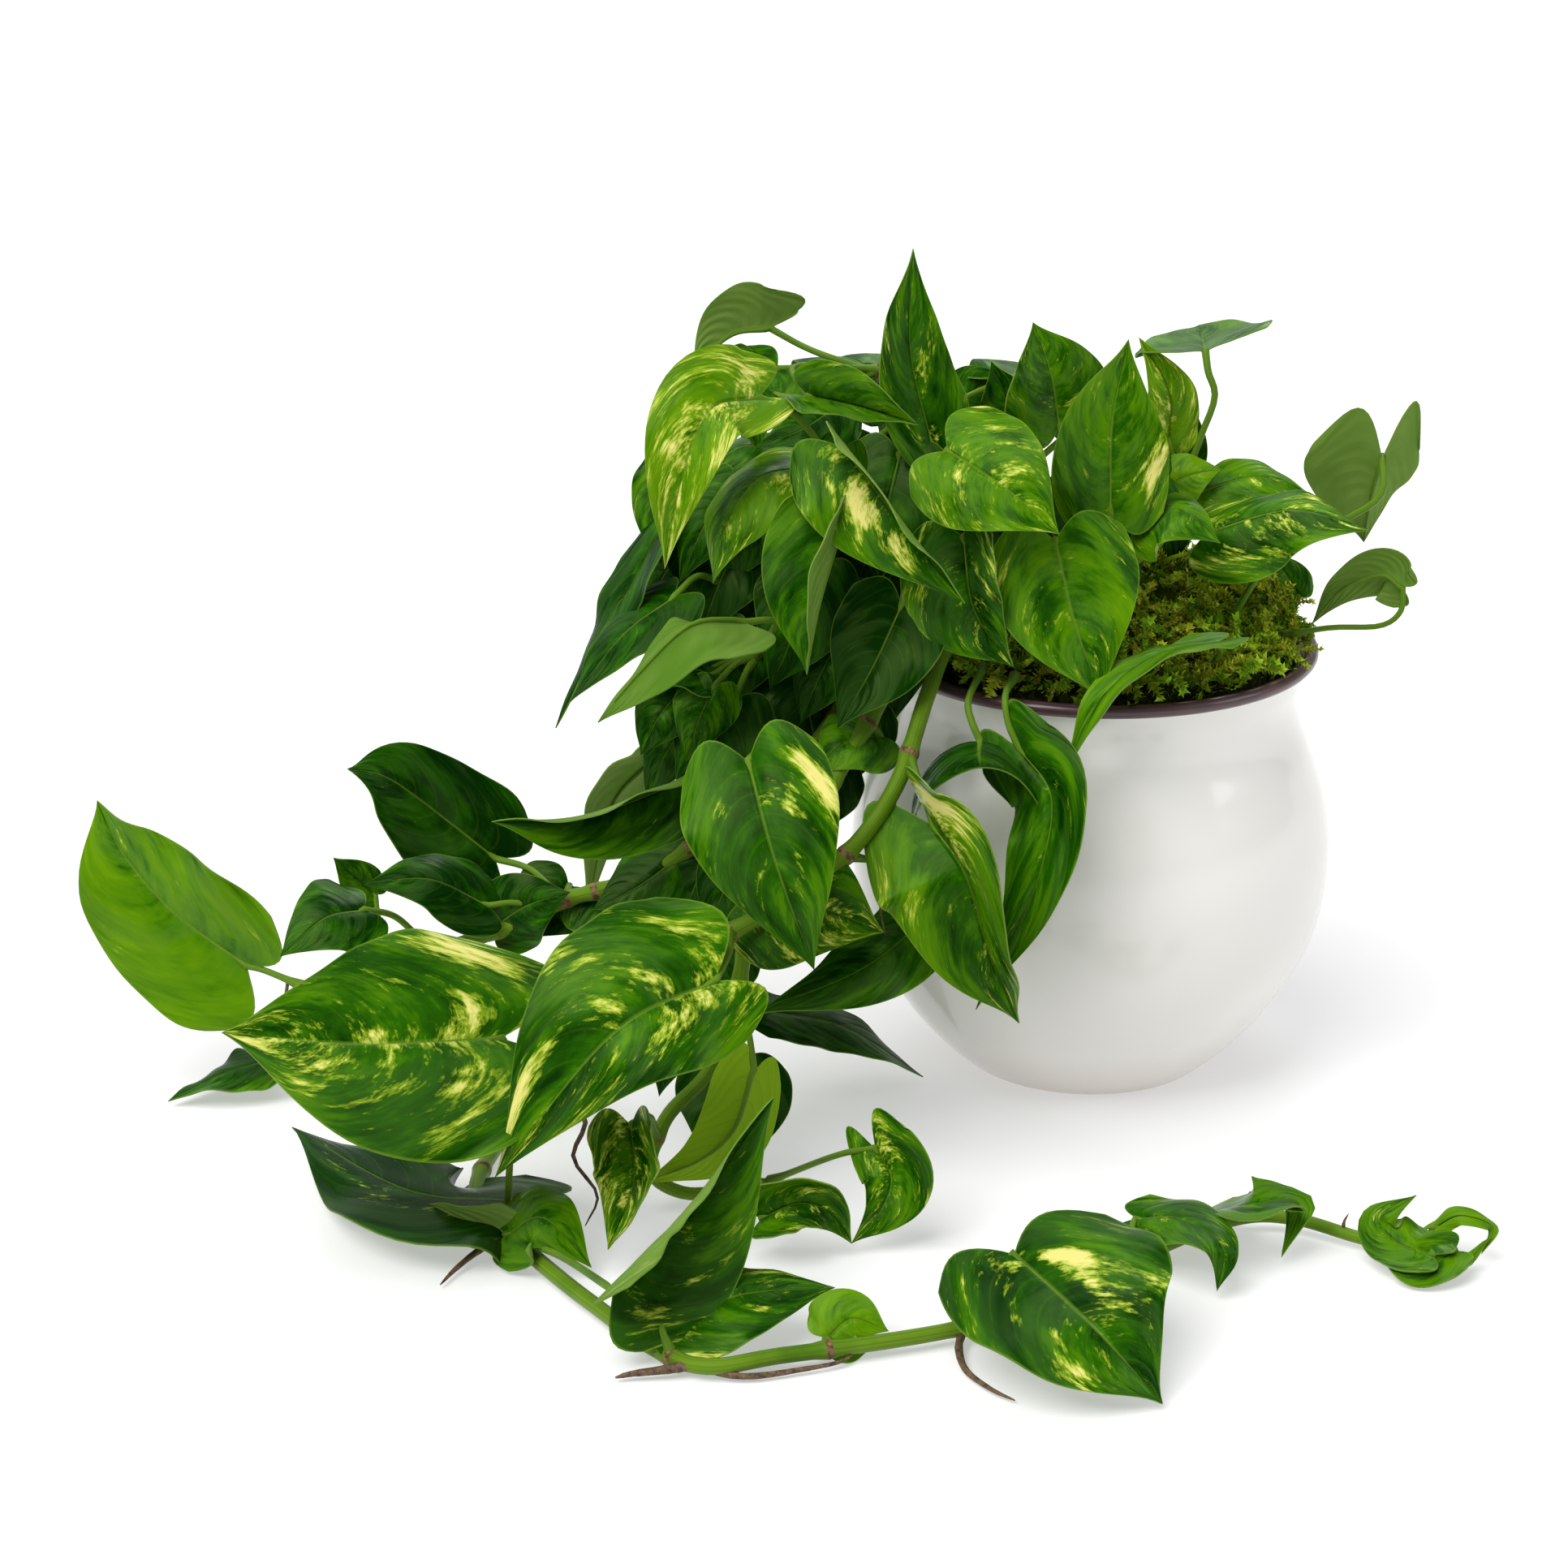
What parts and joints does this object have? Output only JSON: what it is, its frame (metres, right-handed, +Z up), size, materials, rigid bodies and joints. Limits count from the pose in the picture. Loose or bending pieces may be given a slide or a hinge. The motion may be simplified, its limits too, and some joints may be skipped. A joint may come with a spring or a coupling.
{
  "type": "potted pothos plant",
  "caption": "Variegated pothos in a round white glazed pot with a dark rolled rim, moss on the soil, leafy stems spilling over one side and a long runner on the floor.",
  "frame": {"origin": "middle of the pot's flat foot, on the surface that the pot stands on", "axes": "+Z up; -X is the side that the plant spills over; -Y is the front, where the runner lies along the floor"},
  "size_m": [0.5467, 0.442, 0.3501],
  "materials": {
    "glaze": "glossy white glaze with a dark brown rim",
    "potting_mix": "rough bark and peat mix",
    "moss": "matt, shaggy",
    "stem": "smooth green bark, satin",
    "leaf": "waxy, semi-gloss, streaked cream and yellow"
  },
  "bodies": {
    "root": {"pot": "glaze", "soil": "potting_mix", "moss": "moss", "vine_trail": "stem", "vine_loop": "stem", "vine_left": "stem", "vine_back": "stem", "crown_left": "stem", "crown_centre": "stem", "crown_right": "stem", "crown_leaf_01": "leaf", "crown_leaf_02": "leaf", "crown_leaf_03": "leaf", "crown_leaf_04": "leaf", "crown_leaf_05": "leaf", "crown_leaf_06": "leaf", "crown_leaf_07": "leaf", "crown_leaf_08": "leaf", "crown_leaf_09": "leaf", "crown_leaf_10": "leaf", "crown_leaf_11": "leaf", "crown_leaf_12": "leaf", "crown_leaf_13": "leaf", "crown_leaf_14": "leaf", "crown_leaf_15": "leaf", "shoulder_leaf_01": "leaf", "shoulder_leaf_02": "leaf", "shoulder_leaf_03": "leaf", "shoulder_leaf_04": "leaf", "shoulder_leaf_05": "leaf", "shoulder_leaf_06": "leaf", "shoulder_leaf_07": "leaf", "shoulder_leaf_08": "leaf", "front_leaf_01": "leaf", "front_leaf_02": "leaf", "front_leaf_03": "leaf", "front_leaf_04": "leaf", "front_leaf_05": "leaf", "front_leaf_06": "leaf", "front_leaf_07": "leaf", "side_leaf_01": "leaf", "side_leaf_02": "leaf", "side_leaf_03": "leaf", "side_leaf_04": "leaf", "side_leaf_05": "leaf", "floor_leaf_01": "leaf", "floor_leaf_02": "leaf", "floor_leaf_03": "leaf", "floor_leaf_04": "leaf", "floor_leaf_05": "leaf", "floor_leaf_06": "leaf", "floor_leaf_07": "leaf", "floor_leaf_08": "leaf", "runner_leaf_01": "leaf", "runner_leaf_02": "leaf", "rear_leaf_01": "leaf", "rear_leaf_02": "leaf", "rear_leaf_03": "leaf", "rear_leaf_04": "leaf", "rear_leaf_05": "leaf"}
  },
  "joints": []
}
